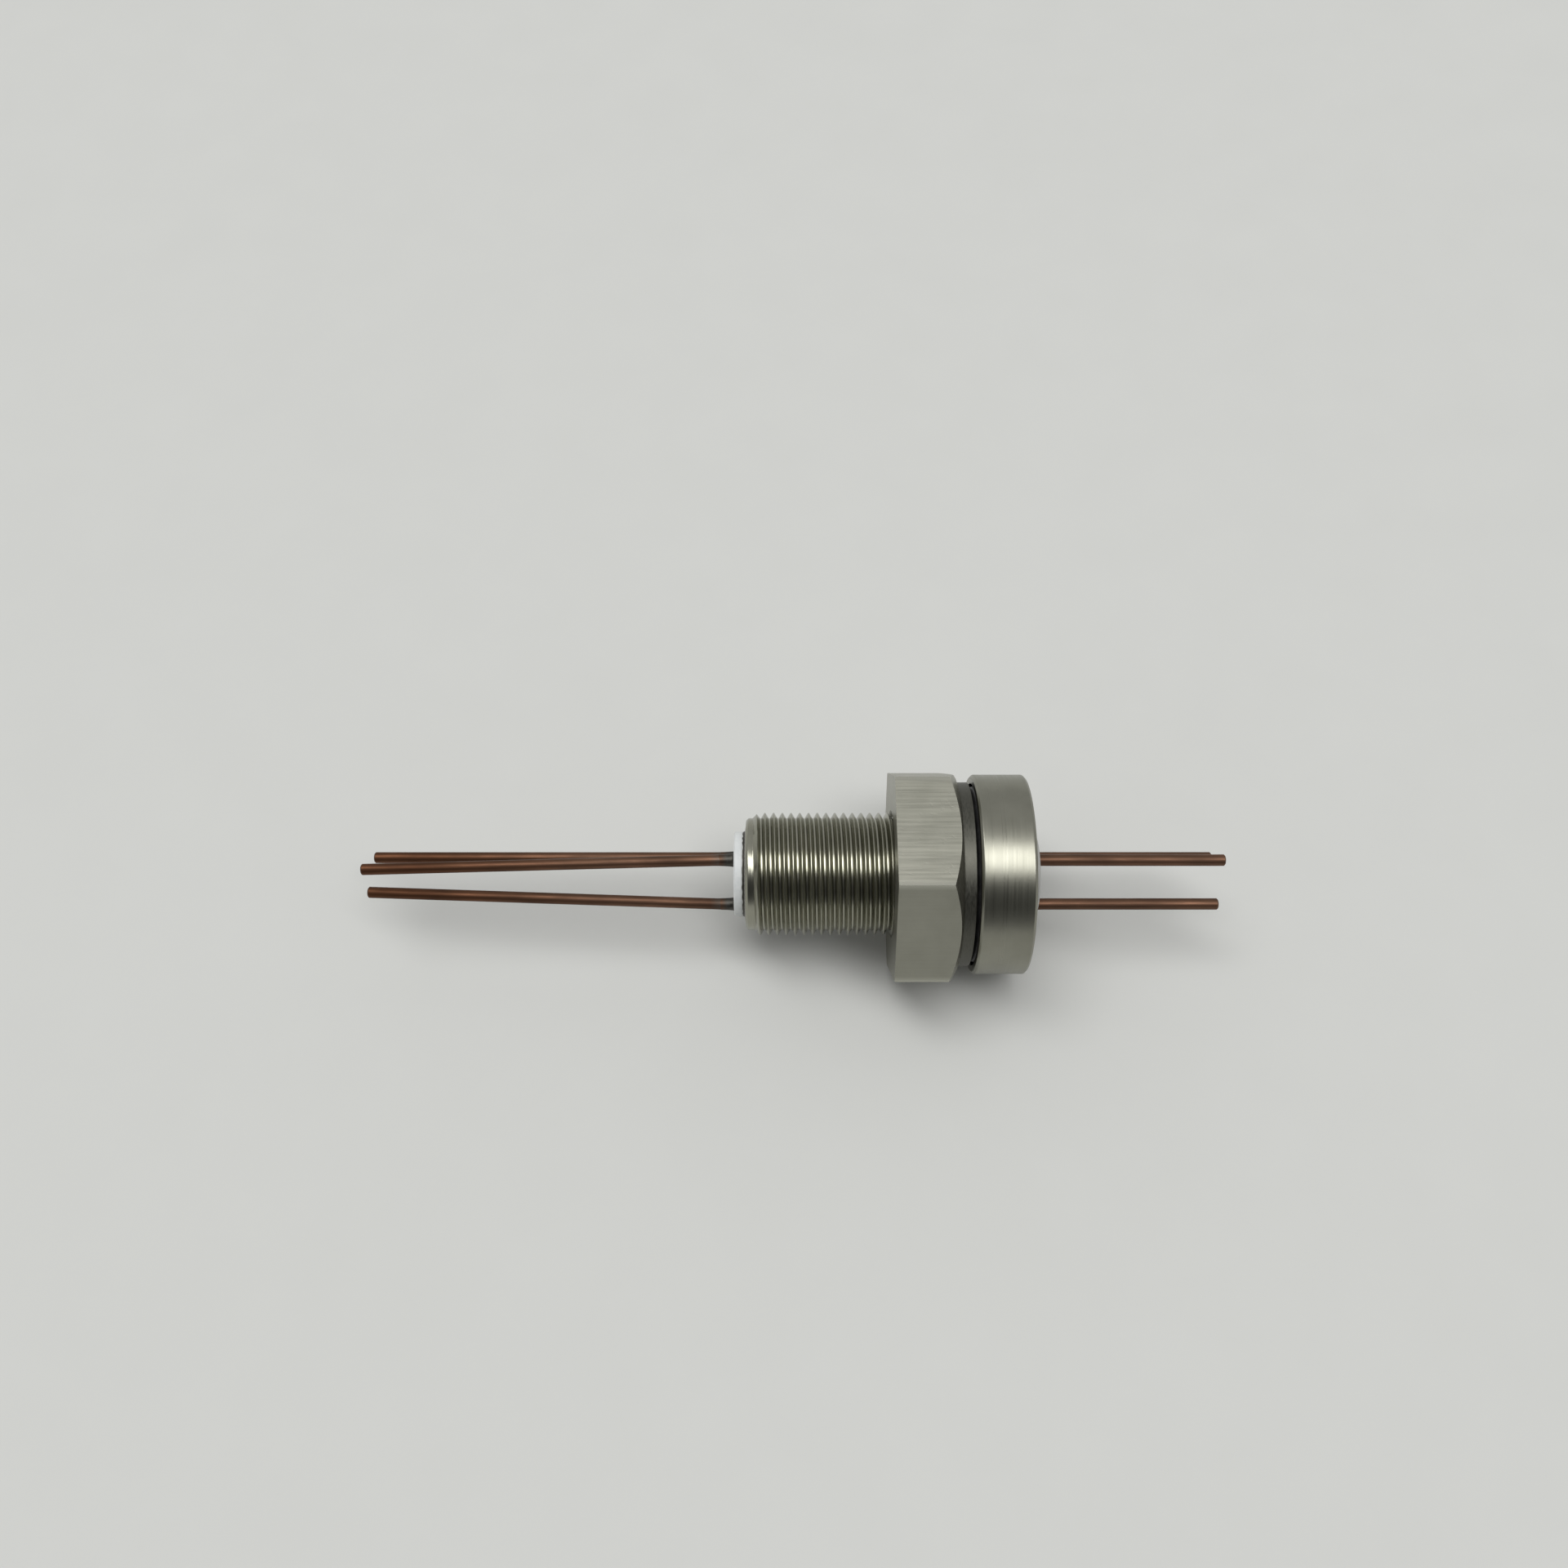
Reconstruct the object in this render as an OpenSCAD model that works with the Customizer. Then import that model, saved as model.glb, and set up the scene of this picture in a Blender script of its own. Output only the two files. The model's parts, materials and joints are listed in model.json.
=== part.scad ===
// Three-conductor electrical vacuum feedthrough on a one-inch threaded shell.
// A brazed ceramic header closes the threaded end, a ceramic guide sits in the
// flange, and the nut, washer and O-ring clamp the shell in a hole through a wall.
// Sizes are in millimetres.
//
// Every piece is drawn on the local Z axis: Z = 0 is the flange's sealing face and
// +Z runs towards the threaded end. laid_down() turns that axis onto -X, and the
// local X direction points up.

/* [Flange and O-ring] */

// Outside diameter of the round flange; the nut's size across the flats follows it
flange_d = 41.3; // [40:0.1:46]
// Thickness of the flange
flange_t = 11; // [10:0.5:15]
// Section diameter of the O-ring
o_ring_section = 3.53; // [3:0.01:3.8]
// Diameter of the circle through the middle of the O-ring's section
o_ring_mid_d = 33.2; // [32.6:0.1:33.6]
// Height that the O-ring stands out of its groove
o_ring_proud = 0.75; // [0.5:0.01:1.1]

/* [Thread, nut and washer] */

// Outside diameter of the thread
thread_d = 25.4; // [24.6:0.1:26.4]
// Distance from one thread crest to the next
thread_pitch = 1.8143; // [1.5:0.0001:2]
// Length of the barrel from the sealing face
barrel_l = 46.5; // [40:0.5:70]
// How much wider the nut is across its flats than the flange
nut_over_flange = 0; // [-1:0.1:4]
// Nut thickness
nut_t = 13; // [10:0.1:22]
// Washer outside diameter
washer_d = 38.1; // [36:0.1:41]
// Washer thickness
washer_t = 2.7; // [1:0.1:3]

/* [Insulators and conductors] */

// Outside diameter of the ceramic header
header_d = 17.5; // [17.2:0.1:18]
// Length that each insulator stands out of the shell
ceramic_out = 2.4; // [1.5:0.1:6]
// Diameter of a conductor
conductor_d = 2.39; // [1.6:0.01:2.6]
// Diameter of the circle that the conductors stand on
conductor_circle_d = 12.5; // [11:0.1:12.6]
// Free length of a conductor at the threaded end
long_end_l = 76.2; // [30:0.1:120]
// Free length of a conductor at the flange end
short_end_l = 38.1; // [15:0.1:80]
// Lean of conductor 1, in degrees
lean_angle_1 = 1.5; // [0:0.1:3]
// Side to which conductor 1 leans, in degrees: 0 is to the axis, 90 is square to that
lean_side_angle_1 = 60; // [0:5:90]
// Lean of conductor 2 towards the axis, in degrees
lean_angle_2 = 1.9; // [0:0.1:3]
// Lean of conductor 3 towards the axis, in degrees
lean_angle_3 = 0; // [0:0.1:3]

/* [Hidden] */

$fn = 96;

// Clearances
thread_play = 0.15;
washer_play = 0.25;
pin_play = 0.15;
braze_gap = 0.15;
header_play = 0.25;
sleeve_play = 0.05;
guide_play = 0.2;
boss_play = 0.4;
end_play = 0.3;
overshoot = 1;

// Edge breaks
rim_chamfer = 0.5;
ceramic_chamfer = 0.3;
pin_chamfer = 0.25;
washer_chamfer = 0.2;

// Thread form: 60 degree flanks; crest flat and depth are shares of the pitch
crest_share = 1 / 8;
depth_share = 0.6134;
flank_angle = 30;
crest_flat = crest_share * thread_pitch;
thread_depth = depth_share * thread_pitch;
root_half = crest_flat / 2 + thread_depth * tan(flank_angle);
thread_r = thread_d / 2;
root_r = thread_r - thread_depth;
relief_l = 2.2;
plain_end_l = 1.15;
thread_turns = floor((barrel_l - plain_end_l - relief_l) / thread_pitch);

// O-ring groove in the sealing face, wider than the ring so that the rubber can spread
groove_share = 1.25;
groove_depth = o_ring_section - o_ring_proud;
groove_w = groove_share * o_ring_section;

// Places along the axis
washer_z = o_ring_proud;
nut_z = washer_z + washer_t;
header_t = 10.4;
header_front_z = barrel_l + ceramic_out;
header_back_z = header_front_z - header_t;
sleeve_l = 4.8;
sleeve_z = barrel_l - sleeve_l;
flange_back_z = -flange_t;
ring_inset = 1.7;
ring_t = 1.1;
ring_z = flange_back_z + ring_inset;
guide_flange_t = 4;
guide_z = ring_z + ring_t;
guide_front_z = guide_z + guide_flange_t;
guide_back_z = flange_back_z - ceramic_out;

// Radii of the bore and of what sits in it
sleeve_wall = 0.5;
sleeve_in_r = header_d / 2 + braze_gap;
sleeve_out_r = sleeve_in_r + sleeve_wall;
guide_step = 1.2;
ring_bite = 0.6;
ring_boss_gap = 0.6;
bore_r = header_d / 2 + header_play;
guide_seat_r = bore_r + guide_step;
guide_r = guide_seat_r - guide_play;
guide_boss_r = bore_r - boss_play;
ring_groove_r = guide_seat_r + ring_bite;
ring_groove_play = 0.05;
ring_in_r = guide_boss_r + ring_boss_gap;
ring_gap_angle = 24;

// Conductors and the small parts on them
pin_r = conductor_d / 2;
pin_hole_r = pin_r + pin_play;
pin_circle_r = conductor_circle_d / 2;
pin_turn_angle = 2;
pin_angles = [for (i = [0, -1, 1]) pin_turn_angle + i * 120];
lean_angles = [lean_angle_1, lean_angle_2, lean_angle_3];
lean_side_angles = [lean_side_angle_1, 0, 0];
braze_run = 3;
braze_collar_l = 0.6;
braze_edge = 0.03;
braze_hold = 3;
braze_setback = 0.8;
// The lean starts at the end of the braze collar, where the free end is a little thinner
kink_z = header_front_z + braze_run;
kink_root = 0.2;
kink_step = 0.03;
long_end_r = pin_r - kink_step;
eyelet_foot_w = 0.85;
eyelet_foot_r = pin_hole_r + eyelet_foot_w;
eyelet_foot_t = 0.4;
eyelet_wall = 0.35;
eyelet_l = 3.5;
insulator_r = bore_r - pin_circle_r - pin_play;
insulator_top_z = header_back_z - eyelet_l - end_play;

// Nut details
nut_af = flange_d + nut_over_flange;
nut_corner_r = nut_af / 2 / cos(30);
nut_bevel_angle = 30;
nut_face_inset = 0.4;
nut_mouth = 0.4;

shell_color = [0.52, 0.52, 0.48];
nut_color = [0.42, 0.41, 0.38];
washer_color = [0.62, 0.62, 0.60];
rubber_color = [0.05, 0.05, 0.05];
ceramic_color = [0.90, 0.92, 0.93];
copper_color = [0.42, 0.27, 0.20];
braze_color = [0.66, 0.65, 0.62];
nickel_color = [0.60, 0.58, 0.54];

// Placing

// Turns the local Z axis onto -X with the local X direction up
module laid_down() {
    rotate([0, -90, 0]) children();
}

// Moves a conductor's part from the axis to its place on the circle
module at_pin(i) {
    rotate([0, 0, pin_angles[i]]) translate([pin_circle_r, 0, 0]) children();
}

// Tools

// Plain round piece from z0 to z1
module disc(r, z0, z1) {
    translate([0, 0, z0]) cylinder(r = r, h = z1 - z0);
}

// Round piece with both rims chamfered
module chamfered_disc(r, z0, z1, c) {
    rotate_extrude()
        polygon([[0, z0], [r - c, z0], [r, z0 + c], [r, z1 - c], [r - c, z1], [0, z1]]);
}

// Tube from z0 to z1
module tube(r_in, r_out, z0, z1) {
    difference() {
        disc(r_out, z0, z1);
        disc(r_in, z0 - overshoot, z1 + overshoot);
    }
}

// Middle of thread ridge k, counted from the threaded end
function ridge_z(k) = barrel_l - plain_end_l - (k + 0.5) * thread_pitch;

// Thread ridges from the relief to the plain end, grown by play for the nut's thread
function ridges(play) = [
    for (j = [0:thread_turns - 1])
        let (z = ridge_z(thread_turns - 1 - j))
        for (p = [[root_r, -root_half], [thread_r, -crest_flat / 2],
                  [thread_r, crest_flat / 2], [root_r, root_half]])
            [p[0] + play, z + p[1]]
];

// Threaded barrel as a solid of revolution
module thread_form(play, z0, z1) {
    rotate_extrude()
        polygon(concat([[0, z0], [root_r + play, z0]], ridges(play),
                       [[root_r + play, z1 - rim_chamfer], [root_r + play - rim_chamfer, z1], [0, z1]]));
}

// Pieces

// Turned stainless shell: flange with O-ring groove, threaded barrel, stepped bore
module flanged_shell() {
    color(shell_color) laid_down() difference() {
        union() {
            chamfered_disc(flange_d / 2, flange_back_z, 0, rim_chamfer);
            thread_form(0, -overshoot, barrel_l);
        }
        o_ring_groove();
        disc(bore_r, flange_back_z - overshoot, barrel_l + overshoot);
        disc(sleeve_out_r + sleeve_play, sleeve_z, barrel_l + overshoot);
        disc(guide_seat_r, flange_back_z - overshoot, guide_front_z);
        disc(ring_groove_r + ring_groove_play, ring_z, ring_z + ring_t);
    }
}

module o_ring_groove() {
    tube((o_ring_mid_d - groove_w) / 2, (o_ring_mid_d + groove_w) / 2, -groove_depth, overshoot);
}

// Jam nut, bevelled on the washer's side; its thread is the shell's with play added
module hex_nut() {
    color(nut_color) laid_down() difference() {
        intersection() {
            rotate([0, 0, 30]) translate([0, 0, nut_z]) cylinder(r = nut_corner_r, h = nut_t, $fn = 6);
            nut_bevel();
        }
        thread_form(thread_play, -overshoot, barrel_l + overshoot);
        nut_mouths();
    }
}

// Round envelope that bevels the nut's corners
module nut_bevel() {
    face_r = nut_af / 2 - nut_face_inset;
    rim_r = nut_corner_r + overshoot;
    rise = (rim_r - face_r) * tan(nut_bevel_angle);
    rotate_extrude()
        polygon([[0, nut_z], [face_r, nut_z], [rim_r, nut_z + rise], [rim_r, nut_z + nut_t],
                 [0, nut_z + nut_t]]);
}

// Countersinks that lead the thread in at both faces of the nut
module nut_mouths() {
    mouth_r = thread_r + thread_play + nut_mouth;
    depth = mouth_r - root_r;
    translate([0, 0, nut_z]) cylinder(r1 = mouth_r, r2 = root_r, h = depth);
    translate([0, 0, nut_z + nut_t - depth]) cylinder(r1 = root_r, r2 = mouth_r, h = depth);
}

module flat_washer() {
    color(washer_color) laid_down() difference() {
        chamfered_disc(washer_d / 2, washer_z, washer_z + washer_t, washer_chamfer);
        disc(thread_r + washer_play, washer_z - overshoot, washer_z + washer_t + overshoot);
    }
}

// O-ring resting on the bottom of its groove
module o_ring() {
    color(rubber_color) laid_down()
        rotate_extrude()
            translate([o_ring_mid_d / 2, o_ring_section / 2 - groove_depth])
                circle(d = o_ring_section);
}

// Alumina header with three conductor holes
module header_ceramic() {
    color(ceramic_color) laid_down() difference() {
        chamfered_disc(header_d / 2, header_back_z, header_front_z, ceramic_chamfer);
        for (i = [0:2])
            at_pin(i) disc(pin_hole_r, header_back_z - overshoot, header_front_z + overshoot);
    }
}

// Thin sleeve seated in the end of the barrel
module weld_sleeve() {
    color(nickel_color) laid_down() tube(sleeve_in_r, sleeve_out_r, sleeve_z, barrel_l);
}

// Braze metal between sleeve and ceramic, with a fillet on the sleeve's end
module header_braze() {
    inner = header_d / 2;
    back_z = sleeve_z + braze_setback;
    fillet = sleeve_out_r - inner;
    color(braze_color) laid_down()
        rotate_extrude()
            polygon([[inner, back_z], [sleeve_in_r, back_z], [sleeve_in_r, barrel_l],
                     [sleeve_out_r, barrel_l], [inner, barrel_l + fillet]]);
}

// Ceramic guide in the flange: a seated collar and a boss that stands out
module guide_insulator() {
    color(ceramic_color) laid_down() difference() {
        union() {
            disc(guide_r, guide_z, guide_front_z);
            chamfered_disc(guide_boss_r, guide_back_z, guide_front_z, ceramic_chamfer);
        }
        for (i = [0:2])
            at_pin(i) disc(pin_hole_r, guide_back_z - overshoot, guide_front_z + overshoot);
    }
}

// Flat snap ring sprung into its groove behind the guide
module retaining_ring() {
    color(nickel_color) laid_down()
        rotate([0, 0, 180 + ring_gap_angle / 2])
            rotate_extrude(angle = 360 - ring_gap_angle)
                translate([ring_in_r, ring_z]) square([ring_groove_r - ring_in_r, ring_t]);
}

// Copper conductor: straight through the shell, then leaning
module conductor(i) {
    back_z = guide_back_z - short_end_l;
    color(copper_color) laid_down() at_pin(i) {
        rotate_extrude()
            polygon([[0, back_z], [pin_r - pin_chamfer, back_z], [pin_r, back_z + pin_chamfer],
                     [pin_r, kink_z], [0, kink_z]]);
        translate([0, 0, kink_z]) rotate([0, -lean_angles[i], lean_side_angles[i]]) long_end();
    }
}

// Free end beyond the header, rooted a little inside the straight piece
module long_end() {
    tip_z = header_front_z + long_end_l - kink_z;
    rotate_extrude()
        polygon([[0, -kink_root], [long_end_r, -kink_root], [long_end_r, tip_z - pin_chamfer],
                 [long_end_r - pin_chamfer, tip_z], [0, tip_z]]);
}

// Braze metal round a conductor, in the ceramic's hole and thinning out along the copper
module pin_braze(i) {
    back_z = header_front_z - braze_hold;
    collar_z = header_front_z + braze_collar_l;
    color(braze_color) laid_down() at_pin(i)
        rotate_extrude()
            polygon([[pin_r, back_z], [pin_hole_r, back_z], [pin_hole_r, collar_z],
                     [pin_r + braze_edge, kink_z], [pin_r, kink_z]]);
}

// Thin eyelet brazed to the header's inner face
module eyelet(i) {
    color(nickel_color) laid_down() at_pin(i) difference() {
        union() {
            disc(eyelet_foot_r, header_back_z - eyelet_foot_t, header_back_z);
            disc(pin_r + eyelet_wall, header_back_z - eyelet_l, header_back_z);
        }
        disc(pin_r, header_back_z - eyelet_l - overshoot, header_back_z + overshoot);
    }
}

// Ceramic tube on a conductor inside the shell
module insulator(i) {
    color(ceramic_color) laid_down() at_pin(i)
        tube(pin_hole_r, insulator_r, guide_front_z, insulator_top_z);
}

flanged_shell();
hex_nut();
flat_washer();
o_ring();
header_ceramic();
weld_sleeve();
header_braze();
guide_insulator();
retaining_ring();
conductor(0);  // conductor_1
conductor(1);  // conductor_2
conductor(2);  // conductor_3
pin_braze(0);  // pin_braze_1
pin_braze(1);  // pin_braze_2
pin_braze(2);  // pin_braze_3
eyelet(0);  // eyelet_1
eyelet(1);  // eyelet_2
eyelet(2);  // eyelet_3
insulator(0);  // insulator_1
insulator(1);  // insulator_2
insulator(2);  // insulator_3
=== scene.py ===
"""Looks of a three-conductor electrical vacuum feedthrough that lies on a pale floor.

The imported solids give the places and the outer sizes; the thread and the fits are named below.
The round pieces are turned again here with finer edges, and the shell and the nut get their
helical thread. The part's axis is X: the threaded end points to -X and the flange to +X.
Lengths are in metres.
"""

import json
import math

import bmesh
import bpy
from mathutils import Matrix, Vector, noise


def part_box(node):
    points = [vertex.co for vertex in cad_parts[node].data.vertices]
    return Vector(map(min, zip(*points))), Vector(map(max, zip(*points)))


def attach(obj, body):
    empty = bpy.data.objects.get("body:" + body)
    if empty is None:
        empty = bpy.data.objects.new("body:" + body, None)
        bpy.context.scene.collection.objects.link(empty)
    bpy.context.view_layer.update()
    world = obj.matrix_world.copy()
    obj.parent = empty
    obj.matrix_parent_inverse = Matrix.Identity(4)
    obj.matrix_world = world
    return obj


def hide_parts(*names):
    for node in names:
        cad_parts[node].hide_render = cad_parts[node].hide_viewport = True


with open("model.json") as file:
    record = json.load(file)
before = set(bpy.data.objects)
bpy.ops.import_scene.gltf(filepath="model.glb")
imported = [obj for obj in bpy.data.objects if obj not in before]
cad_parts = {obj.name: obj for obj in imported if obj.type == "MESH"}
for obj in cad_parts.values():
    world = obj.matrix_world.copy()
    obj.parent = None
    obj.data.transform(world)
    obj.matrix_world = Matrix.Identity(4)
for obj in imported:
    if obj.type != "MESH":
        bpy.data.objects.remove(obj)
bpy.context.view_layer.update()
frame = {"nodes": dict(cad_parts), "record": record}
mounts = {m["name"]: m for m in frame["record"]["mounts"]}

MM = 0.001
TAU = 2 * math.pi

# Steps round a turned piece, a conductor and a braze collar
SEGMENTS = 192
ROD_SEGMENTS = 40
COLLAR_SEGMENTS = 48
# Points closer than this are merged
WELD = 0.004 * MM
# Creases above this many degrees stay sharp; the second value is for pieces with softer edges
CREASE = 32
SOFT_CREASE = 40

# Thread: one inch, 14 to the inch, flanks 60 degrees apart, right-handed
PITCH = 1.8143 * MM
THREAD_R = 12.7 * MM
THREAD_DEPTH = 0.6134 * PITCH
ROOT_R = THREAD_R - THREAD_DEPTH
FLANK_ANGLE = math.radians(30)
THREAD_PLAY = 0.15 * MM
RELIEF_L = 2.2 * MM
PLAIN_END_L = 1.15 * MM
RUN_OUT = 0.8 * PITCH

# Section of the thread in shares of the pitch, and the heights of its small edges in shares of the depth
CREST_START = 0.5 - 1 / 16
CREST_END = 0.5 + 1 / 16
FLANK = THREAD_DEPTH * math.tan(FLANK_ANGLE) / PITCH
EDGE = 0.022
EDGE_LOW = 0.07
EDGE_HIGH = 0.92
# One turn of thread as (share of the pitch, share of the depth), from root to root
THREAD_TURN = [
    (0.0, 0.0),
    (CREST_START - FLANK, 0.0),
    (CREST_START - FLANK + EDGE, EDGE_LOW),
    (CREST_START - EDGE, EDGE_HIGH),
    (CREST_START + EDGE, 1.0),
    (CREST_END - EDGE, 1.0),
    (CREST_END + EDGE, EDGE_HIGH),
    (CREST_END + FLANK - EDGE, EDGE_LOW),
    (CREST_END + FLANK, 0.0),
]

# Clearances and edges of the shell and what sits in or on it
WASHER_PLAY = 0.25 * MM
SLEEVE_PLAY = 0.05 * MM
HEADER_PLAY = 0.25 * MM
GUIDE_PLAY = 0.2 * MM
BRAZE_GAP = 0.15 * MM
RIM_CHAMFER = 0.5 * MM
EDGE_BREAK = 0.12 * MM
# Width of the O-ring's groove against the width of the ring
GROOVE_SHARE = 1.25

# Nut: bevel round the face on the washer's side, mouths of the bore and broken edges
NUT_FACE_INSET = 0.4 * MM
NUT_BEVEL = math.radians(30)
NUT_MOUTH = 0.4 * MM
NUT_EDGE_BREAK = 0.22 * MM

# Conductors: straight piece, thinner free end, and the bend before and after the end of the collar
CONDUCTORS = (1, 2, 3)
CONDUCTOR_R = 1.195 * MM
LONG_END_R = 1.165 * MM
CONDUCTOR_CHAMFER = 0.25 * MM
BEND_BEFORE = 0.5 * MM
BEND_AFTER = 1.5 * MM

# Size of the waves in frozen braze
UNEVEN = 1.1 * MM

# Camera: elevation, distance and where the photograph's middle falls beside the part
CAMERA_ELEVATION = math.radians(62)
CAMERA_DISTANCE = 327 * MM
FRAME_MIDDLE_X = -38.65 * MM
FRAME_MIDDLE_UP = 18.7 * MM
LENS = 36.1
SENSOR = 36.0
NEAR_CLIP = 10 * MM
# The helix meets the solids' ridges on the outline that the camera sees
RIDGE_ANGLE = CAMERA_ELEVATION

# Floor and overhead lamp, in metres and watts
FLOOR_R = 4.0
LAMP_PLACE = (-0.16, -0.18, 8.4)
LAMP_AIM = (-0.04, 0, 0)
LAMP_SIZE = (10.8, 3.36)
LAMP_POWER = 518

# Surround: height above the horizon of its dark middle on the viewer's side, its levels as (cosine of
# the angle to that middle, brightness), and its green and blue against its red
VIEWER_HEIGHT = math.radians(38)
SURROUND_LEVELS = ((0.0, 0.55), (0.7, 0.4), (0.95, 0.05))
SURROUND_COOLNESS = 1.01

# Most of a noise texture lies between these values
NOISE_LOW = 0.3
NOISE_HIGH = 0.7

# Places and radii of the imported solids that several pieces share
shell_low, shell_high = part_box("flanged_shell")
barrel_end_x = shell_low[0]
flange_back_x = shell_high[0]
flange_r = shell_high[2]
floor_z = shell_low[2]
nut_low, nut_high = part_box("hex_nut")
nut_flat_r = nut_high[2]
header_front_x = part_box("header_ceramic")[0][0]
tips_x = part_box("conductor_3")[0][0]


# Mesh tools

def on_axis(x, radius, angle):
    """Point at that radius from the X axis; angle 0 is up and a quarter turn is +Y."""
    return Vector((x, radius * math.sin(angle), radius * math.cos(angle)))


def rounded(points, radii, steps, closed=True):
    """An outline with each corner rounded by a short curve; an open one keeps its two end points.

    Each corner has its own radius in the list, and takes no more than a share of either side. A
    point just past each end of a curve keeps the straight stretches flat where the surface is smoothed.
    """
    most_of_a_side = 0.4
    past = 1.2
    ends = () if closed else (0, len(points) - 1)
    result = []
    for i, (corner, radius) in enumerate(zip(points, radii)):
        corner = Vector(corner)
        if i in ends:
            result.append(corner)
            continue
        before = Vector(points[i - 1]) - corner
        after = Vector(points[(i + 1) % len(points)]) - corner
        reach = min(radius, most_of_a_side * before.length, most_of_a_side * after.length)
        start = before.normalized() * reach
        end = after.normalized() * reach
        result.append(corner + past * start)
        for k in range(steps + 1):
            t = k / steps
            result.append(corner + (1 - t) ** 2 * start + t ** 2 * end)
        result.append(corner + past * end)
    return result


def bridge(bm, a, b):
    """Adds the band of faces between two closed rings with as many points."""
    for j in range(len(a)):
        k = (j + 1) % len(a)
        bm.faces.new((a[j], a[k], b[k], b[j]))


def turn_profile(bm, profile, closed=True, segments=SEGMENTS):
    """Adds the surface that an outline of (x, radius) points sweeps round the X axis."""
    rings = []
    for x, radius in profile:
        rings.append([bm.verts.new(on_axis(x, radius, TAU * j / segments)) for j in range(segments)])
    for a, b in zip(rings, rings[1:]):
        bridge(bm, a, b)
    if closed:
        bridge(bm, rings[-1], rings[0])


def smoothstep(t):
    """Eases from 0 to 1 while t goes from 0 to 1."""
    t = min(max(t, 0.0), 1.0)
    return t * t * (3 - 2 * t)


def helical_thread(bm, start, end, radius_at):
    """Adds a right-handed thread between two distances from the sealing face.

    radius_at(distance, height) gives the radius for a height of 0 at the root and 1 at the
    crest. Points past either end gather on its ring, where they are merged later.
    """
    last_crest = -barrel_end_x - PLAIN_END_L - PITCH / 2
    phase = last_crest - PITCH * (0.5 + RIDGE_ANGLE / TAU)
    first = phase - PITCH * math.ceil((phase - start) / PITCH + 1)
    turns = math.ceil((end - first) / PITCH) + 1
    rows = []
    for i in range((turns + 1) * SEGMENTS):
        angle = TAU * (i % SEGMENTS) / SEGMENTS
        row = []
        for share, height in THREAD_TURN:
            distance = first + PITCH * (i / SEGMENTS + share)
            distance = min(max(distance, start), end)
            row.append(bm.verts.new(on_axis(-distance, radius_at(distance, height), angle)))
        rows.append(row)
    for i in range(turns * SEGMENTS - 1):
        # A row ends at the first point of the row one turn on
        a = rows[i] + rows[i + SEGMENTS][:1]
        b = rows[i + 1] + rows[i + 1 + SEGMENTS][:1]
        for p in range(len(THREAD_TURN)):
            bm.faces.new((a[p], b[p], b[p + 1], a[p + 1]))


def finish_mesh(bm, name, material, crease=CREASE):
    """Merges, orients and smooths a mesh, keeps its sharp edges, and returns its object."""
    bmesh.ops.remove_doubles(bm, verts=bm.verts, dist=WELD)
    bmesh.ops.dissolve_degenerate(bm, edges=bm.edges, dist=WELD / 4)
    bmesh.ops.delete(bm, geom=[v for v in bm.verts if not v.link_faces], context="VERTS")
    bmesh.ops.recalc_face_normals(bm, faces=bm.faces)
    for face in bm.faces:
        face.smooth = True
    for edge in bm.edges:
        edge.smooth = edge.calc_face_angle(math.pi) < math.radians(crease)
    mesh = bpy.data.meshes.new(name)
    bm.to_mesh(mesh)
    bm.free()
    mesh.materials.append(material)
    piece = bpy.data.objects.new(name, mesh)
    bpy.context.scene.collection.objects.link(piece)
    return piece


def stand_for(piece, node):
    """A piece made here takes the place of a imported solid."""
    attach(piece, "root")
    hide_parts(node)


# Material tools

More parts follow.
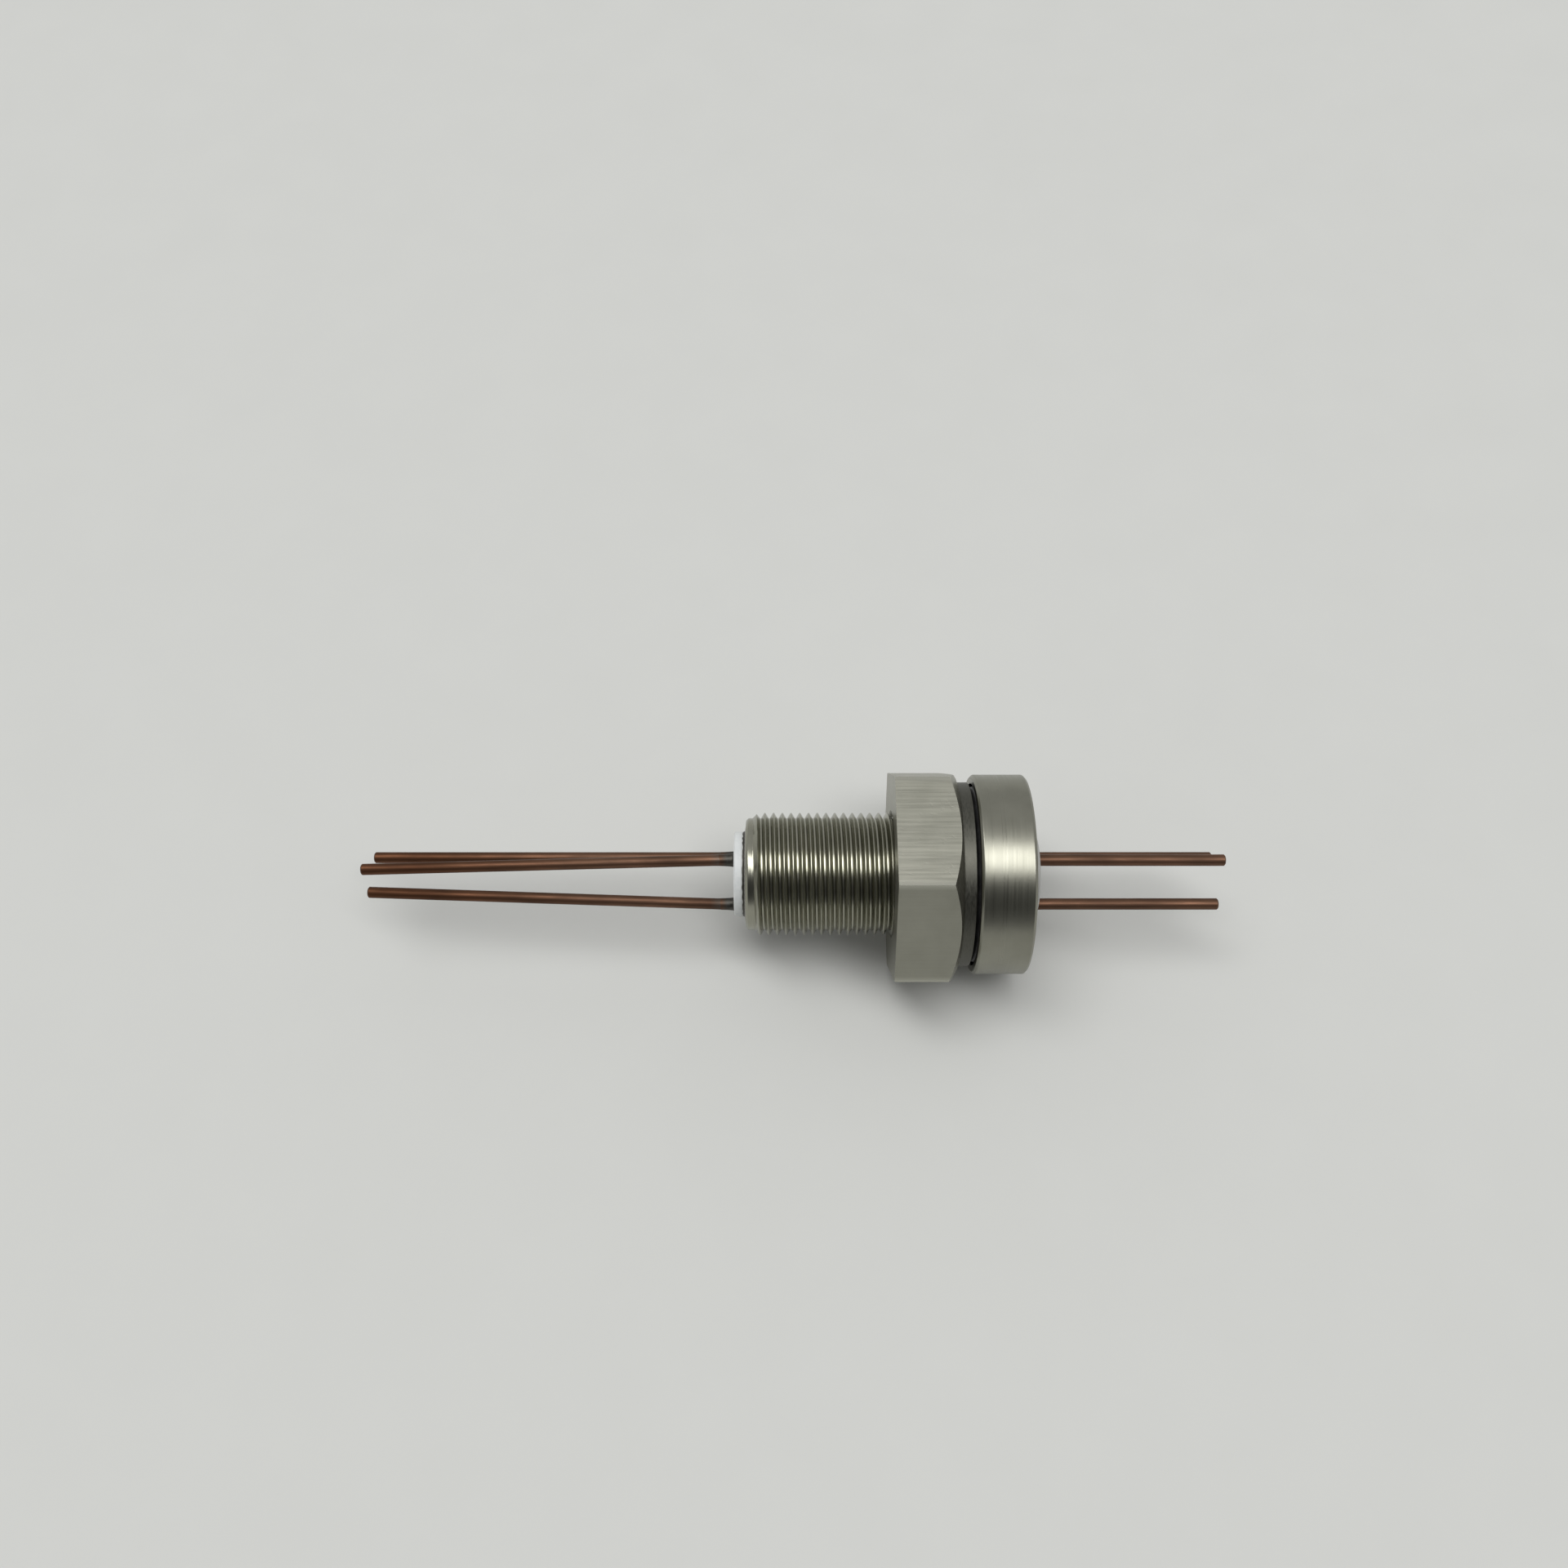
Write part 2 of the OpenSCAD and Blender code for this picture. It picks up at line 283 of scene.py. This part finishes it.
class Shading:
    """A node material with the few building blocks that the finishes here share."""

    def __init__(self, name):
        self.material = bpy.data.materials.new(name)
        self.material.use_nodes = True
        self.tree = self.material.node_tree
        self.shader = self.tree.nodes["Principled BSDF"]
        self.place = self.add("ShaderNodeTexCoord").outputs["Object"]

    def put(self, socket, value):
        """Links another node's output to a socket, or sets the socket's own value."""
        if isinstance(value, bpy.types.NodeSocket):
            self.tree.links.new(value, socket)
        else:
            socket.default_value = value

    def add(self, kind, inputs=None, **settings):
        """A node of that kind with its settings and inputs."""
        node = self.tree.nodes.new(kind)
        for key, value in settings.items():
            setattr(node, key, value)
        for key, value in (inputs or {}).items():
            self.put(node.inputs[key], value)
        return node

    def set(self, **values):
        """Sets the shader's own sockets, by name with underscores for spaces."""
        for key, value in values.items():
            self.put(self.shader.inputs[key.replace("_", " ")], value)

    def calculate(self, operation, a, b):
        """Result of an operation on two numbers."""
        return self.add("ShaderNodeMath", {0: a, 1: b}, operation=operation).outputs[0]

    def scaled(self, vector, x, y, z):
        """A vector multiplied by a number in each direction."""
        node = self.add("ShaderNodeVectorMath", {0: vector, 1: (x, y, z)}, operation="MULTIPLY")
        return node.outputs[0]

    def stretched(self, x, y, z):
        """Object coordinates scaled by direction, in features per metre."""
        return self.scaled(self.place, x, y, z)

    def radius(self):
        """Distance from the part's axis, in metres."""
        flat = self.stretched(0, 1, 1)
        return self.add("ShaderNodeVectorMath", {0: flat}, operation="LENGTH").outputs["Value"]

    def along(self):
        """Place along the part's axis, in metres."""
        return self.add("ShaderNodeSeparateXYZ", {0: self.place}).outputs["X"]

    def turned(self, per_metre):
        """Coordinates that change along the axis and outwards but not round it, as turning marks do."""
        both = self.add("ShaderNodeCombineXYZ", {"X": self.along(), "Y": self.radius()}).outputs[0]
        return self.scaled(both, per_metre, per_metre, per_metre)

    def noise(self, vector, scale=1.0, detail=3.0, roughness=0.55):
        """Cloudy values between 0 and 1."""
        values = {"Vector": vector, "Scale": scale, "Detail": detail, "Roughness": roughness}
        return self.add("ShaderNodeTexNoise", values).outputs["Fac"]

    def ramp(self, value, *stops):
        """Colour ramp through (place, colour) stops; a number stands for a grey."""
        node = self.add("ShaderNodeValToRGB", {"Fac": value})
        elements = node.color_ramp.elements
        while len(elements) < len(stops):
            elements.new(1.0)
        for element, (place, colour) in zip(elements, stops):
            element.position = place
            if isinstance(colour, (int, float)):
                colour = (colour, colour, colour)
            element.color = (*colour, 1.0)
        return node.outputs["Color"]

    def between(self, value, low, high):
        """Ramp from one colour or grey to another over the range of a noise."""
        return self.ramp(value, (NOISE_LOW, low), (NOISE_HIGH, high))

    def spread(self, value, low, high):
        """Maps low..high to 0..1."""
        values = {"Value": value, "From Min": low, "From Max": high}
        return self.add("ShaderNodeMapRange", values).outputs["Result"]

    def mix(self, share, a, b, blend="MIX"):
        """Colour a with that share of colour b."""
        node = self.add("ShaderNodeMix", data_type="RGBA", blend_type=blend)
        for socket, value in zip((node.inputs["Factor"], node.inputs[6], node.inputs[7]), (share, a, b)):
            self.put(socket, (*value, 1.0) if isinstance(value, tuple) else value)
        return node.outputs[2]

    def bump(self, height, depth, strength, under=None):
        """Bump of that depth in metres, on top of another bump if one is given."""
        values = {"Height": height, "Distance": depth, "Strength": strength}
        if under is not None:
            values["Normal"] = under
        return self.add("ShaderNodeBump", values).outputs["Normal"]


# Materials

def turned_steel():
    """Stainless shell: smooth cut thread, fine and broad lathe lines on the flange, a warm tint."""
    s = Shading("turned_stainless")
    cloud = s.noise(s.place, scale=150)
    thread = s.between(cloud, (0.295, 0.292, 0.238), (0.355, 0.35, 0.29))
    flange = s.between(cloud, (0.25, 0.247, 0.205), (0.29, 0.286, 0.24))
    # The flange's finish starts at the foot of the barrel
    foot_start = -0.6 * MM
    foot_end = -0.1 * MM
    on_flange = s.spread(s.along(), foot_start, foot_end)
    s.set(Base_Color=s.mix(on_flange, thread, flange), Metallic=1.0)
    fine = s.noise(s.turned(2900), detail=4, roughness=0.65)
    broad = s.noise(s.turned(750), detail=2)
    lines = s.mix(0.4, fine, broad)
    smooth_gloss = s.ramp(s.noise(s.place, scale=300), (0.3, 0.22), (0.75, 0.27))
    lined_gloss = s.ramp(lines, (0.35, 0.26), (0.65, 0.37))
    s.set(Roughness=s.mix(on_flange, smooth_gloss, lined_gloss))
    cut = s.calculate("MULTIPLY", lines, on_flange)
    s.set(Normal=s.bump(cut, depth=0.02 * MM, strength=0.6))
    return s.material


def nut_steel():
    """Stainless hexagon bar: drawn streaks along the flats, small dents, corners polished by wrenches."""
    s = Shading("hexagon_bar_steel")
    streaks = s.noise(s.stretched(60, 2400, 2400), detail=4)
    cloud = s.noise(s.place, scale=120, detail=4)
    base = s.between(cloud, (0.305, 0.302, 0.253), (0.365, 0.36, 0.306))
    drawn = s.between(streaks, (0.26, 0.257, 0.214), (0.44, 0.434, 0.37))
    flats = s.mix(0.16, base, drawn)
    corner_start = 1.125 * nut_flat_r
    corner_end = 1.15 * nut_flat_r
    corner = s.spread(s.radius(), corner_start, corner_end)
    polished = (0.45, 0.445, 0.385)
    polished_gloss = (0.26, 0.26, 0.26)
    s.set(Base_Color=s.mix(corner, flats, polished), Metallic=1.0)
    s.set(Roughness=s.mix(corner, s.between(streaks, 0.3, 0.42), polished_gloss))
    fine = s.bump(streaks, depth=0.006 * MM, strength=0.4)
    dents = s.ramp(s.noise(s.place, scale=700, detail=2), (0.3, 0.0), (0.36, 1.0))
    s.set(Normal=s.bump(dents, depth=0.01 * MM, strength=0.5, under=fine))
    return s.material


def washer_steel():
    """Stamped stainless sheet with a dull rolled skin, its colour painted dark as painted shade of the
    gap between nut and flange.
    """
    s = Shading("stamped_washer_steel")
    grain = s.noise(s.stretched(4000, 900, 900), detail=4)
    # The base colour is painted shade: kept very dark for the shade that falls in the narrow gap between
    # the nut and the flange.
    s.set(Base_Color=s.between(grain, (0.08, 0.079, 0.067), (0.125, 0.123, 0.105)), Metallic=1.0)
    s.set(Roughness=s.between(grain, 0.38, 0.54))
    s.set(Normal=s.bump(grain, depth=0.01 * MM, strength=0.5))
    return s.material


def seal_rubber():
    """Black fluorine rubber with a faint bloom."""
    s = Shading("black_seal_rubber")
    bloom = s.noise(s.place, scale=500, detail=5)
    s.set(Base_Color=s.ramp(bloom, (0.35, (0.012, 0.012, 0.012)), (0.75, (0.035, 0.035, 0.036))))
    s.set(Roughness=s.between(bloom, 0.38, 0.56))
    s.set(Normal=s.bump(s.noise(s.place, scale=6000), depth=0.01 * MM, strength=0.5))
    return s.material


def alumina():
    """White ground ceramic with faint mottling and a grey metallised band at the braze."""
    s = Shading("white_alumina")
    mottle = s.noise(s.place, scale=900, detail=5)
    white = s.between(mottle, (0.665, 0.69, 0.69), (0.765, 0.78, 0.775))
    band_start = barrel_end_x - 1.0 * MM
    band_full = barrel_end_x - 0.35 * MM
    metallised = (0.42, 0.42, 0.4)
    band = s.spread(s.along(), band_start, band_full)
    s.set(Base_Color=s.mix(band, white, metallised))
    s.set(Roughness=s.between(mottle, 0.36, 0.52))
    s.set(Normal=s.bump(s.noise(s.place, scale=5200), depth=0.008 * MM, strength=0.5))
    return s.material


def oxidised_copper():
    """Drawn copper gone brown: blotches, lines along the wire, darker tips, grey near the braze."""
    s = Shading("oxidised_copper")
    blotch = s.noise(s.stretched(70, 420, 420), detail=5)
    lines = s.noise(s.stretched(35, 3600, 3600))
    dark = (0.07, 0.038, 0.024)
    middle = (0.125, 0.067, 0.041)
    light = (0.21, 0.108, 0.066)
    brown = s.ramp(blotch, (0.3, dark), (0.5, middle), (0.72, light))
    drawn = s.mix(0.3, brown, s.between(lines, (0.066, 0.037, 0.024), (0.22, 0.118, 0.075)))
    # From the threaded end: dark tips, clean copper, and grey at the braze that fades out in the shell
    tips_end = tips_x + 12 * MM
    clean_start = tips_x + 50 * MM
    grey_start = header_front_x - 5 * MM
    grey_full = header_front_x - 1.8 * MM
    tip_tint = (0.78, 0.62, 0.49)
    braze_grey = (0.1, 0.092, 0.08)
    clean = s.spread(s.along(), tips_end, clean_start)
    aged = s.mix(1.0, drawn, s.ramp(clean, (0.0, tip_tint), (1.0, 1.0)), "MULTIPLY")
    near = s.spread(s.along(), grey_start, grey_full)
    inside = s.spread(s.along(), header_front_x, 0)
    s.set(Base_Color=s.mix(s.calculate("SUBTRACT", near, inside), aged, braze_grey), Metallic=0.9)
    s.set(Roughness=s.between(blotch, 0.56, 0.42))
    s.set(Normal=s.bump(lines, depth=0.008 * MM, strength=0.5))
    return s.material


def braze_metal():
    """Silver-copper braze as it froze: dull grey runs, and copper that shows where they thin out."""
    s = Shading("flowed_braze")
    flow = s.noise(s.place, scale=1100)
    grey = s.between(flow, (0.055, 0.052, 0.045), (0.105, 0.1, 0.089))
    thin_end = header_front_x - 2.8 * MM
    thick_start = header_front_x - 1.5 * MM
    copper = (0.115, 0.068, 0.046)
    thick = s.spread(s.along(), thin_end, thick_start)
    s.set(Base_Color=s.mix(thick, copper, grey), Metallic=1.0)
    s.set(Roughness=s.between(flow, 0.42, 0.55))
    s.set(Normal=s.bump(flow, depth=0.02 * MM, strength=0.4))
    return s.material


def nickel_iron():
    """Plain nickel-iron sheet of the weld sleeve, eyelets and snap ring."""
    s = Shading("nickel_iron_sheet")
    grain = s.noise(s.place, scale=1300, detail=4)
    s.set(Base_Color=s.between(grain, (0.33, 0.32, 0.29), (0.45, 0.435, 0.4)), Metallic=1.0)
    s.set(Roughness=s.between(grain, 0.32, 0.5))
    s.set(Normal=s.bump(grain, depth=0.008 * MM, strength=0.4))
    return s.material


finishes = {
    "shell_steel": turned_steel(),
    "nut_steel": nut_steel(),
    "washer_steel": washer_steel(),
    "seal_rubber": seal_rubber(),
    "alumina": alumina(),
    "copper": oxidised_copper(),
    "braze_metal": braze_metal(),
    "nickel_iron": nickel_iron(),
}


# Pieces

def ring_span(node):
    """Inner and outer radius of the O-ring's section, from its box."""
    low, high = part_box(node)
    outer = high[2]
    return outer - (high[0] - low[0]), outer


def flanged_shell():
    """Flange with its groove, stepped bore and the helical thread on the barrel."""
    ring_inner, ring_outer = ring_span("o_ring")
    groove_mid = (ring_inner + ring_outer) / 2
    groove_half = GROOVE_SHARE * (ring_outer - ring_inner) / 2
    groove_floor_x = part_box("o_ring")[1][0]
    seat_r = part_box("weld_sleeve")[1][2] + SLEEVE_PLAY
    seat_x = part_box("weld_sleeve")[1][0]
    bore_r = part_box("header_ceramic")[1][2] + HEADER_PLAY
    guide_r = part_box("guide_insulator")[1][2] + GUIDE_PLAY
    guide_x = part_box("guide_insulator")[0][0]
    ring_low, ring_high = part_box("retaining_ring")
    chamfer = RIM_CHAMFER
    thread_start_x = -RELIEF_L
    thread_end_x = barrel_end_x + PLAIN_END_L
    profile = [
        (thread_end_x, ROOT_R),
        (barrel_end_x + chamfer, ROOT_R),
        (barrel_end_x, ROOT_R - chamfer),
        (barrel_end_x, seat_r),
        (seat_x, seat_r),
        (seat_x, bore_r),
        (guide_x, bore_r),
        (guide_x, guide_r),
        (ring_low[0], guide_r),
        (ring_low[0], ring_high[1]),
        (ring_high[0], ring_high[1]),
        (ring_high[0], guide_r),
        (flange_back_x, guide_r),
        (flange_back_x, flange_r - chamfer),
        (flange_back_x - chamfer, flange_r),
        (chamfer, flange_r),
        (0, flange_r - chamfer),
        (0, groove_mid + groove_half),
        (groove_floor_x, groove_mid + groove_half),
        (groove_floor_x, groove_mid - groove_half),
        (0, groove_mid - groove_half),
        (0, ROOT_R),
        (thread_start_x, ROOT_R),
    ]
    bm = bmesh.new()
    outline = rounded(profile, [EDGE_BREAK] * len(profile), steps=2, closed=False)
    turn_profile(bm, outline, closed=False)

    def radius_at(distance, height):
        fade = smoothstep((distance - RELIEF_L) / RUN_OUT)
        fade *= smoothstep((-thread_end_x - distance) / RUN_OUT)
        return ROOT_R + THREAD_DEPTH * height * fade

    helical_thread(bm, RELIEF_L, -thread_end_x, radius_at)
    piece = finish_mesh(bm, "turned_shell", finishes["shell_steel"])
    stand_for(piece, "flanged_shell")


def hex_radius(angle):
    """Radius of the nut's outline: flats up and down, corners 30 degrees from up."""
    sixth = math.radians(60)
    from_flat = (angle + sixth / 2) % sixth - sixth / 2
    return nut_flat_r / math.cos(from_flat)


def hex_nut():
    """Hexagon bevelled on the washer's side; its helical bore opens in a countersink at both faces."""
    near = -nut_high[0]
    far = -nut_low[0]
    face_r = nut_flat_r - NUT_FACE_INSET
    mouth_r = THREAD_R + THREAD_PLAY + NUT_MOUTH
    # Rings beside the broken edges keep the flats and the faces flat where the mesh is smoothed
    beside = 0.3 * MM
    bm = bmesh.new()
    columns = []
    for j in range(SEGMENTS):
        angle = TAU * j / SEGMENTS
        wall = hex_radius(angle)
        bevel_end = near + (wall - face_r) * math.tan(NUT_BEVEL)
        stations = [
            (near, mouth_r),
            (near, face_r - beside),
            (near, face_r),
            (bevel_end, wall),
            (bevel_end + beside, wall),
            (far - beside, wall),
            (far, wall),
            (far, wall - beside),
            (far, mouth_r),
        ]
        columns.append([bm.verts.new(on_axis(-distance, radius, angle)) for distance, radius in stations])
    rings = list(zip(*columns))
    for a, b in zip(rings, rings[1:]):
        bridge(bm, a, b)
    least_edge = math.radians(20)
    fullness = 0.6
    outline = [e for e in bm.edges if len(e.link_faces) == 2 and e.calc_face_angle(0) > least_edge]
    bmesh.ops.bevel(
        bm, geom=outline, offset=NUT_EDGE_BREAK, segments=2, profile=fullness, affect="EDGES"
    )

    def radius_at(distance, height):
        cut = ROOT_R + THREAD_PLAY + THREAD_DEPTH * height
        edge = min(distance - near, far - distance)
        return max(cut, mouth_r - edge)

    helical_thread(bm, near, far, radius_at)
    piece = finish_mesh(bm, "jam_nut", finishes["nut_steel"], SOFT_CREASE)
    stand_for(piece, "hex_nut")


def flat_washer():
    """Stamped washer: its edges on the nut's side are rolled by the punch, the others are crisp."""
    low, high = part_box("flat_washer")
    outer = high[2]
    inner = THREAD_R + WASHER_PLAY
    rolled = 0.45 * MM
    outline = [(low[0], inner), (low[0], outer), (high[0], outer), (high[0], inner)]
    bm = bmesh.new()
    turn_profile(bm, rounded(outline, [rolled, rolled, EDGE_BREAK, EDGE_BREAK], steps=5))
    piece = finish_mesh(bm, "stamped_washer", finishes["washer_steel"])
    stand_for(piece, "flat_washer")


def o_ring():
    """Moulded ring with a fine parting line round its outside and its inside."""
    low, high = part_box("o_ring")
    middle_x = (high[0] + low[0]) / 2
    section_r = (high[0] - low[0]) / 2
    middle_r = sum(ring_span("o_ring")) / 2
    line_height = 0.04 * MM
    line_width = 0.05
    steps = 96
    outline = []
    for k in range(steps):
        turn = TAU * k / steps
        radius = section_r - line_height + line_height * math.exp(-(math.cos(turn) / line_width) ** 2)
        outline.append((middle_x + radius * math.cos(turn), middle_r + radius * math.sin(turn)))
    bm = bmesh.new()
    turn_profile(bm, outline)
    piece = finish_mesh(bm, "moulded_o_ring", finishes["seal_rubber"])
    stand_for(piece, "o_ring")


def hollow_fillet(foot_x, inner_r, size):
    """Quarter round of (x, radius) points from a face towards -X, hollow against an inner radius."""
    steps = 6
    points = []
    for k in range(steps + 1):
        turn = k / steps * math.pi / 2
        points.append((foot_x - size * (1 - math.cos(turn)), inner_r + size * (1 - math.sin(turn))))
    return points


def header_braze():
    """Braze ring with a hollow fillet on the ceramic, whose upper edge is uneven as it froze."""
    inner_x, _, foot_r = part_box("header_braze")[1]
    ceramic_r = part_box("header_ceramic")[1][2]
    gap_r = ceramic_r + BRAZE_GAP
    waver_share = 0.3
    outline = [(inner_x, ceramic_r), (inner_x, gap_r), (barrel_end_x, gap_r)]
    outline += hollow_fillet(barrel_end_x, ceramic_r, foot_r - ceramic_r)
    bm = bmesh.new()
    turn_profile(bm, outline)
    for vert in bm.verts:
        climb = max(barrel_end_x - vert.co.x, 0)
        vert.co.x += waver_share * climb * noise.noise(vert.co / UNEVEN)
    piece = finish_mesh(bm, "header_braze_ring", finishes["braze_metal"])
    stand_for(piece, "header_braze")


def weld_bead():
    """Fine rippled weld that joins the sleeve to the end of the shell."""
    past_sleeve = 0.15 * MM
    half_width = 0.32 * MM
    height = 0.45 * half_width
    ripples = 64
    ripple_height = 0.22
    bead_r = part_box("weld_sleeve")[1][2] + past_sleeve
    sections = 2 * SEGMENTS
    steps = 10
    bm = bmesh.new()
    rings = []
    for j in range(sections):
        angle = TAU * j / sections
        swell = 1 + ripple_height * abs(math.sin(ripples * angle / 2))
        ring = []
        for k in range(steps):
            turn = TAU * k / steps
            x = barrel_end_x - height * swell * math.cos(turn)
            ring.append(bm.verts.new(on_axis(x, bead_r + half_width * math.sin(turn), angle)))
        rings.append(ring)
    for j, ring in enumerate(rings):
        bridge(bm, ring, rings[(j + 1) % sections])
    piece = finish_mesh(bm, "weld_bead", finishes["nickel_iron"])
    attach(piece, "root")


def tube_along(bm, path, radii):
    """Adds a closed round bar through the points of a path, with a radius at each."""
    rings = []
    for i, point in enumerate(path):
        ahead = path[min(i + 1, len(path) - 1)] - path[max(i - 1, 0)]
        turn = ahead.normalized().to_track_quat("Z", "Y").to_matrix()
        ring = []
        for j in range(ROD_SEGMENTS):
            angle = TAU * j / ROD_SEGMENTS
            outward = turn @ Vector((math.cos(angle), math.sin(angle), 0))
            ring.append(bm.verts.new(point + outward * radii[i]))
        rings.append(ring)
    for a, b in zip(rings, rings[1:]):
        bridge(bm, a, b)
    bm.faces.new(list(reversed(rings[0])))
    bm.faces.new(rings[-1])


def conductor(i):
    """Copper rod: straight through the shell, then leaning, with chamfered cut ends."""
    low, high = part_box(f"conductor_{i}")
    short_mid = Vector(mounts[f"short_end_{i}"]["pos_m"])
    long_mid = Vector(mounts[f"long_end_{i}"]["pos_m"])
    lean = Vector(mounts[f"long_end_{i}"]["axis"])
    kink_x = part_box(f"pin_braze_{i}")[0][0]
    back = Vector((high[0], short_mid.y, short_mid.z))
    tip = long_mid + lean * ((low[0] - long_mid.x) / lean.x)
    shoulders = (back - Vector((CONDUCTOR_CHAMFER, 0, 0)), tip - lean * CONDUCTOR_CHAMFER)
    straight_end = Vector((kink_x + BEND_BEFORE, back.y, back.z))
    bend_end = long_mid + lean * ((kink_x - BEND_AFTER - long_mid.x) / lean.x)
    quarters = [k / 4 for k in range(5)]
    path = [back]
    radii = [CONDUCTOR_R - CONDUCTOR_CHAMFER]
    for share in quarters:
        path.append(shoulders[0].lerp(straight_end, share))
        radii.append(CONDUCTOR_R)
    for share in quarters:
        path.append(bend_end.lerp(shoulders[1], share))
        radii.append(LONG_END_R)
    path.append(tip)
    radii.append(LONG_END_R - CONDUCTOR_CHAMFER)
    bm = bmesh.new()
    tube_along(bm, path, radii)
    piece = finish_mesh(bm, f"copper_rod_{i}", finishes["copper"])
    stand_for(piece, f"conductor_{i}")


def pin_braze(i):
    """Collar of braze drawn along the copper, with a hollow fillet on the ceramic and an uneven edge."""
    low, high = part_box(f"pin_braze_{i}")
    centre = Vector((0, (low[1] + high[1]) / 2, (low[2] + high[2]) / 2))
    film = 0.01 * MM
    fillet = 0.4 * MM
    taper = 1.5
    waver_share = 0.12
    waves_apart = 7.0
    collar_r = CONDUCTOR_R + BRAZE_GAP
    thin_r = CONDUCTOR_R + film
    run = header_front_x - low[0]
    even_run = 0.3 * run
    own_waves = Vector((i * waves_apart, 0, 0))
    outline = [(high[0], CONDUCTOR_R), (high[0], collar_r), (header_front_x, collar_r)]
    outline += hollow_fillet(header_front_x, collar_r, fillet)
    for share in (0.35, 0.55, 0.75, 1.0):
        thinning = (1 - share) ** taper
        outline.append((header_front_x - share * run, thin_r + (collar_r - thin_r) * thinning))
    outline.append((low[0], CONDUCTOR_R))
    bm = bmesh.new()
    turn_profile(bm, outline, segments=COLLAR_SEGMENTS)
    for vert in bm.verts:
        reach = max(header_front_x - even_run - vert.co.x, 0)
        vert.co.x += waver_share * reach * noise.noise(vert.co / UNEVEN + own_waves)
    bmesh.ops.translate(bm, verts=bm.verts, vec=centre)
    piece = finish_mesh(bm, f"braze_collar_{i}", finishes["braze_metal"], SOFT_CREASE)
    stand_for(piece, f"pin_braze_{i}")


def dress_kept_solids():
    """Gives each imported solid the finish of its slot."""
    for part in frame["record"]["subparts"]:
        node = frame["nodes"][part["node"]]
        node.data.materials.clear()
        node.data.materials.append(finishes[part["material_slot"]])


dress_kept_solids()
flanged_shell()
hex_nut()
flat_washer()
o_ring()
header_braze()
weld_bead()
for number in CONDUCTORS:
    conductor(number)
    pin_braze(number)


# Stage, light and camera

def pale_floor():
    """Wide matt sheet under the part, with a faint paper mottle."""
    s = Shading("pale_paper")
    mottle = s.noise(s.place, scale=60, detail=4)
    s.set(Base_Color=s.between(mottle, (0.632, 0.636, 0.612), (0.644, 0.648, 0.624)))
    s.set(Roughness=s.between(mottle, 0.75, 0.85))
    mesh = bpy.data.meshes.new("floor")
    rim = []
    for k in range(SEGMENTS):
        turn = TAU * k / SEGMENTS
        rim.append((FLOOR_R * math.cos(turn), FLOOR_R * math.sin(turn), floor_z))
    mesh.from_pydata(rim, [], [tuple(range(SEGMENTS))])
    mesh.materials.append(s.material)
    floor = bpy.data.objects.new("floor", mesh)
    bpy.context.scene.collection.objects.link(floor)


def overhead_lamp():
    """Soft box so far up that it lights the floor evenly."""
    lamp = bpy.data.lights.new("overhead", "AREA")
    lamp.shape = "RECTANGLE"
    lamp.size = LAMP_SIZE[0]
    lamp.size_y = LAMP_SIZE[1]
    lamp.energy = LAMP_POWER
    light = bpy.data.objects.new("overhead", lamp)
    light.location = LAMP_PLACE
    facing = Vector(LAMP_AIM) - Vector(LAMP_PLACE)
    light.rotation_euler = facing.to_track_quat("-Z", "Y").to_euler()
    bpy.context.scene.collection.objects.link(light)


def surround():
    """Light from all round that falls off to dark on the viewer's side."""
    world = bpy.data.worlds.new("surround")
    world.use_nodes = True
    tree = world.node_tree
    place = tree.nodes.new("ShaderNodeTexCoord")
    viewer = tree.nodes.new("ShaderNodeVectorMath")
    viewer.operation = "DOT_PRODUCT"
    viewer.inputs[1].default_value = (0, -math.cos(VIEWER_HEIGHT), math.sin(VIEWER_HEIGHT))
    shade = tree.nodes.new("ShaderNodeValToRGB")
    # A new ramp has two stops and the levels need a third, whose place is set with the others
    shade.color_ramp.elements.new(0.5)
    for element, (cosine, level) in zip(shade.color_ramp.elements, SURROUND_LEVELS):
        element.position = cosine
        cool = SURROUND_COOLNESS * level
        element.color = (level, cool, cool, 1)
    tree.links.new(place.outputs["Generated"], viewer.inputs[0])
    tree.links.new(viewer.outputs["Value"], shade.inputs["Fac"])
    tree.links.new(shade.outputs["Color"], tree.nodes["Background"].inputs["Color"])
    bpy.context.scene.world = world


def photo_camera():
    """Camera above the front, as far off as the photograph's perspective says."""
    up = Vector((0, math.sin(CAMERA_ELEVATION), math.cos(CAMERA_ELEVATION)))
    back = Vector((0, -math.cos(CAMERA_ELEVATION), math.sin(CAMERA_ELEVATION)))
    middle = Vector((FRAME_MIDDLE_X, 0, 0)) + up * FRAME_MIDDLE_UP
    lens = bpy.data.cameras.new("photo_camera")
    lens.sensor_width = SENSOR
    lens.lens = LENS
    lens.clip_start = NEAR_CLIP
    camera = bpy.data.objects.new("photo_camera", lens)
    turn = Matrix((Vector((1, 0, 0)), up, back)).transposed().to_4x4()
    camera.matrix_world = Matrix.Translation(middle + back * CAMERA_DISTANCE) @ turn
    bpy.context.scene.collection.objects.link(camera)
    bpy.context.scene.camera = camera


pale_floor()
overhead_lamp()
surround()
photo_camera()
bpy.context.scene.view_settings.view_transform = "Standard"
